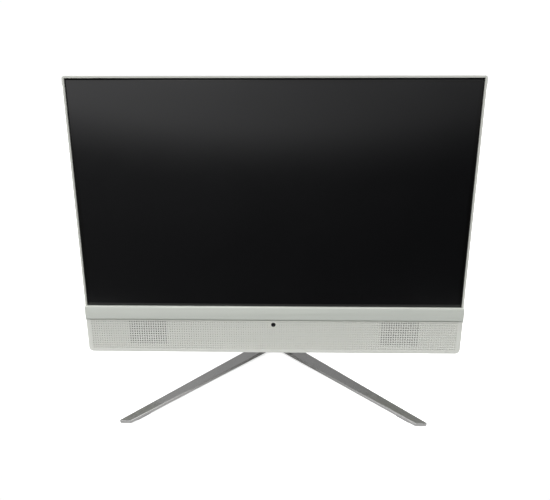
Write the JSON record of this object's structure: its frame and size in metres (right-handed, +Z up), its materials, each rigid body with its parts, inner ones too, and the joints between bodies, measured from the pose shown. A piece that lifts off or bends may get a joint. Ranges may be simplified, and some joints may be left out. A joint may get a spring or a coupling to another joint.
{
  "type": "all-in-one desktop computer",
  "caption": "All-in-one desktop computer with a near-borderless widescreen, a perforated speaker chin, a side disc tray and a tilting V-shaped metal stand.",
  "frame": {"origin": "on the desk, midway between the leg tips and the back of the stand, on the machine's middle plane", "axes": "+X to the user's right, +Y away from the user, +Z up; the screen faces -Y and leans back 12 degrees"},
  "size_m": [0.4892, 0.185, 0.4032],
  "materials": {
    "housing": "fine matte white",
    "chin": "fine matte white",
    "keys": "fine matte white",
    "screen": "anti-glare, off",
    "backlight": "acrylic light guide in a thin metal tray",
    "lens": "glossy black",
    "black_plastic": "fine matte",
    "speaker_cone": "paper cone and rubber surround",
    "sockets": "plated sheet metal",
    "hinge_steel": "plated",
    "fasteners": "plated",
    "drive_case": "satin",
    "circuit_board": "solder mask",
    "copper": "copper",
    "stand_metal": "satin silver coat",
    "rubber": "matte black"
  },
  "bodies": {
    "stand": {"stand_base": "stand_metal", "stand_neck": "stand_metal", "foot_front_left": "rubber", "foot_front_right": "rubber", "foot_rear": "rubber", "base_screw_left": "fasteners", "base_screw_right": "fasteners", "friction_washer_left": "hinge_steel", "friction_washer_right": "hinge_steel"},
    "head": {"mid_frame": "housing", "chin_band": "chin", "speaker_grille": "chin", "lcd_panel": "screen", "lcd_backlight": "backlight", "camera_board": "circuit_board", "camera_lens": "lens", "speaker_box_left": "black_plastic", "speaker_box_right": "black_plastic", "speaker_cone_left": "speaker_cone", "speaker_cone_right": "speaker_cone", "rear_cover": "housing", "power_inlet": "black_plastic", "lan_socket": "sockets", "hdmi_socket": "sockets", "rear_usb_socket_outer": "sockets", "rear_usb_socket_inner": "sockets", "side_usb_socket_lower": "sockets", "side_usb_socket_upper": "sockets", "card_reader": "sockets", "headset_jack": "black_plastic", "hinge_plate": "hinge_steel", "hinge_shaft": "hinge_steel", "hinge_nut_left": "fasteners", "hinge_nut_right": "fasteners", "hinge_screw_1": "fasteners", "hinge_screw_2": "fasteners", "hinge_screw_3": "fasteners", "hinge_screw_4": "fasteners", "chassis_plate": "hinge_steel", "motherboard": "circuit_board", "memory_module": "circuit_board", "wifi_card": "circuit_board", "clock_battery": "fasteners", "hard_drive": "drive_case", "display_cable": "black_plastic", "cold_plate": "copper", "fin_stack": "copper", "heat_pipe": "copper", "blower_housing": "black_plastic", "optical_drive_case": "drive_case"},
    "blower_fan": {"blower_rotor": "black_plastic"},
    "power_key": {"power_button": "keys"},
    "brightness_up_key": {"brightness_up_button": "keys"},
    "brightness_down_key": {"brightness_down_button": "keys"},
    "tray": {"disc_tray": "black_plastic", "tray_front": "housing"},
    "eject_key": {"eject_button": "keys"},
    "spindle": {"disc_spindle": "drive_case"},
    "laser_sled": {"laser_sled": "black_plastic"}
  },
  "joints": [
    {"name": "screen_tilt", "type": "hinge", "parent": "stand", "child": "head", "pos_m": [0, 0.04627, 0.14305], "axis": [-1, 0, 0], "range_deg": [-17, 13]},
    {"name": "blower_spin", "type": "hinge", "parent": "head", "child": "blower_fan", "pos_m": [-0.19201, 0.0373, 0.22879], "axis": [0, 0.9781, -0.2079], "continuous": true},
    {"name": "power_press", "type": "slide", "parent": "head", "child": "power_key", "axis": [0, 0.2079, 0.9781], "range_m": [0, 0.0006], "stiffness_N_per_m": 1500, "springref_m": -0.0002},
    {"name": "brightness_up_press", "type": "slide", "parent": "head", "child": "brightness_up_key", "axis": [0, 0.2079, 0.9781], "range_m": [0, 0.0006], "stiffness_N_per_m": 1500, "springref_m": -0.0002},
    {"name": "brightness_down_press", "type": "slide", "parent": "head", "child": "brightness_down_key", "axis": [0, 0.2079, 0.9781], "range_m": [0, 0.0006], "stiffness_N_per_m": 1500, "springref_m": -0.0002},
    {"name": "tray_slide", "type": "slide", "parent": "head", "child": "tray", "axis": [1, 0, 0], "range_m": [0, 0.108]},
    {"name": "eject_press", "type": "slide", "parent": "tray", "child": "eject_key", "axis": [-1, 0, 0], "range_m": [0, 0.0005], "stiffness_N_per_m": 1500, "springref_m": -0.0002},
    {"name": "spindle_spin", "type": "hinge", "parent": "tray", "child": "spindle", "pos_m": [0.1788, 0.02939, 0.21514], "axis": [0, 0.9781, -0.2079], "continuous": true},
    {"name": "laser_sled_slide", "type": "slide", "parent": "tray", "child": "laser_sled", "axis": [0, -0.2079, -0.9781], "range_m": [0, 0.022]}
  ]
}
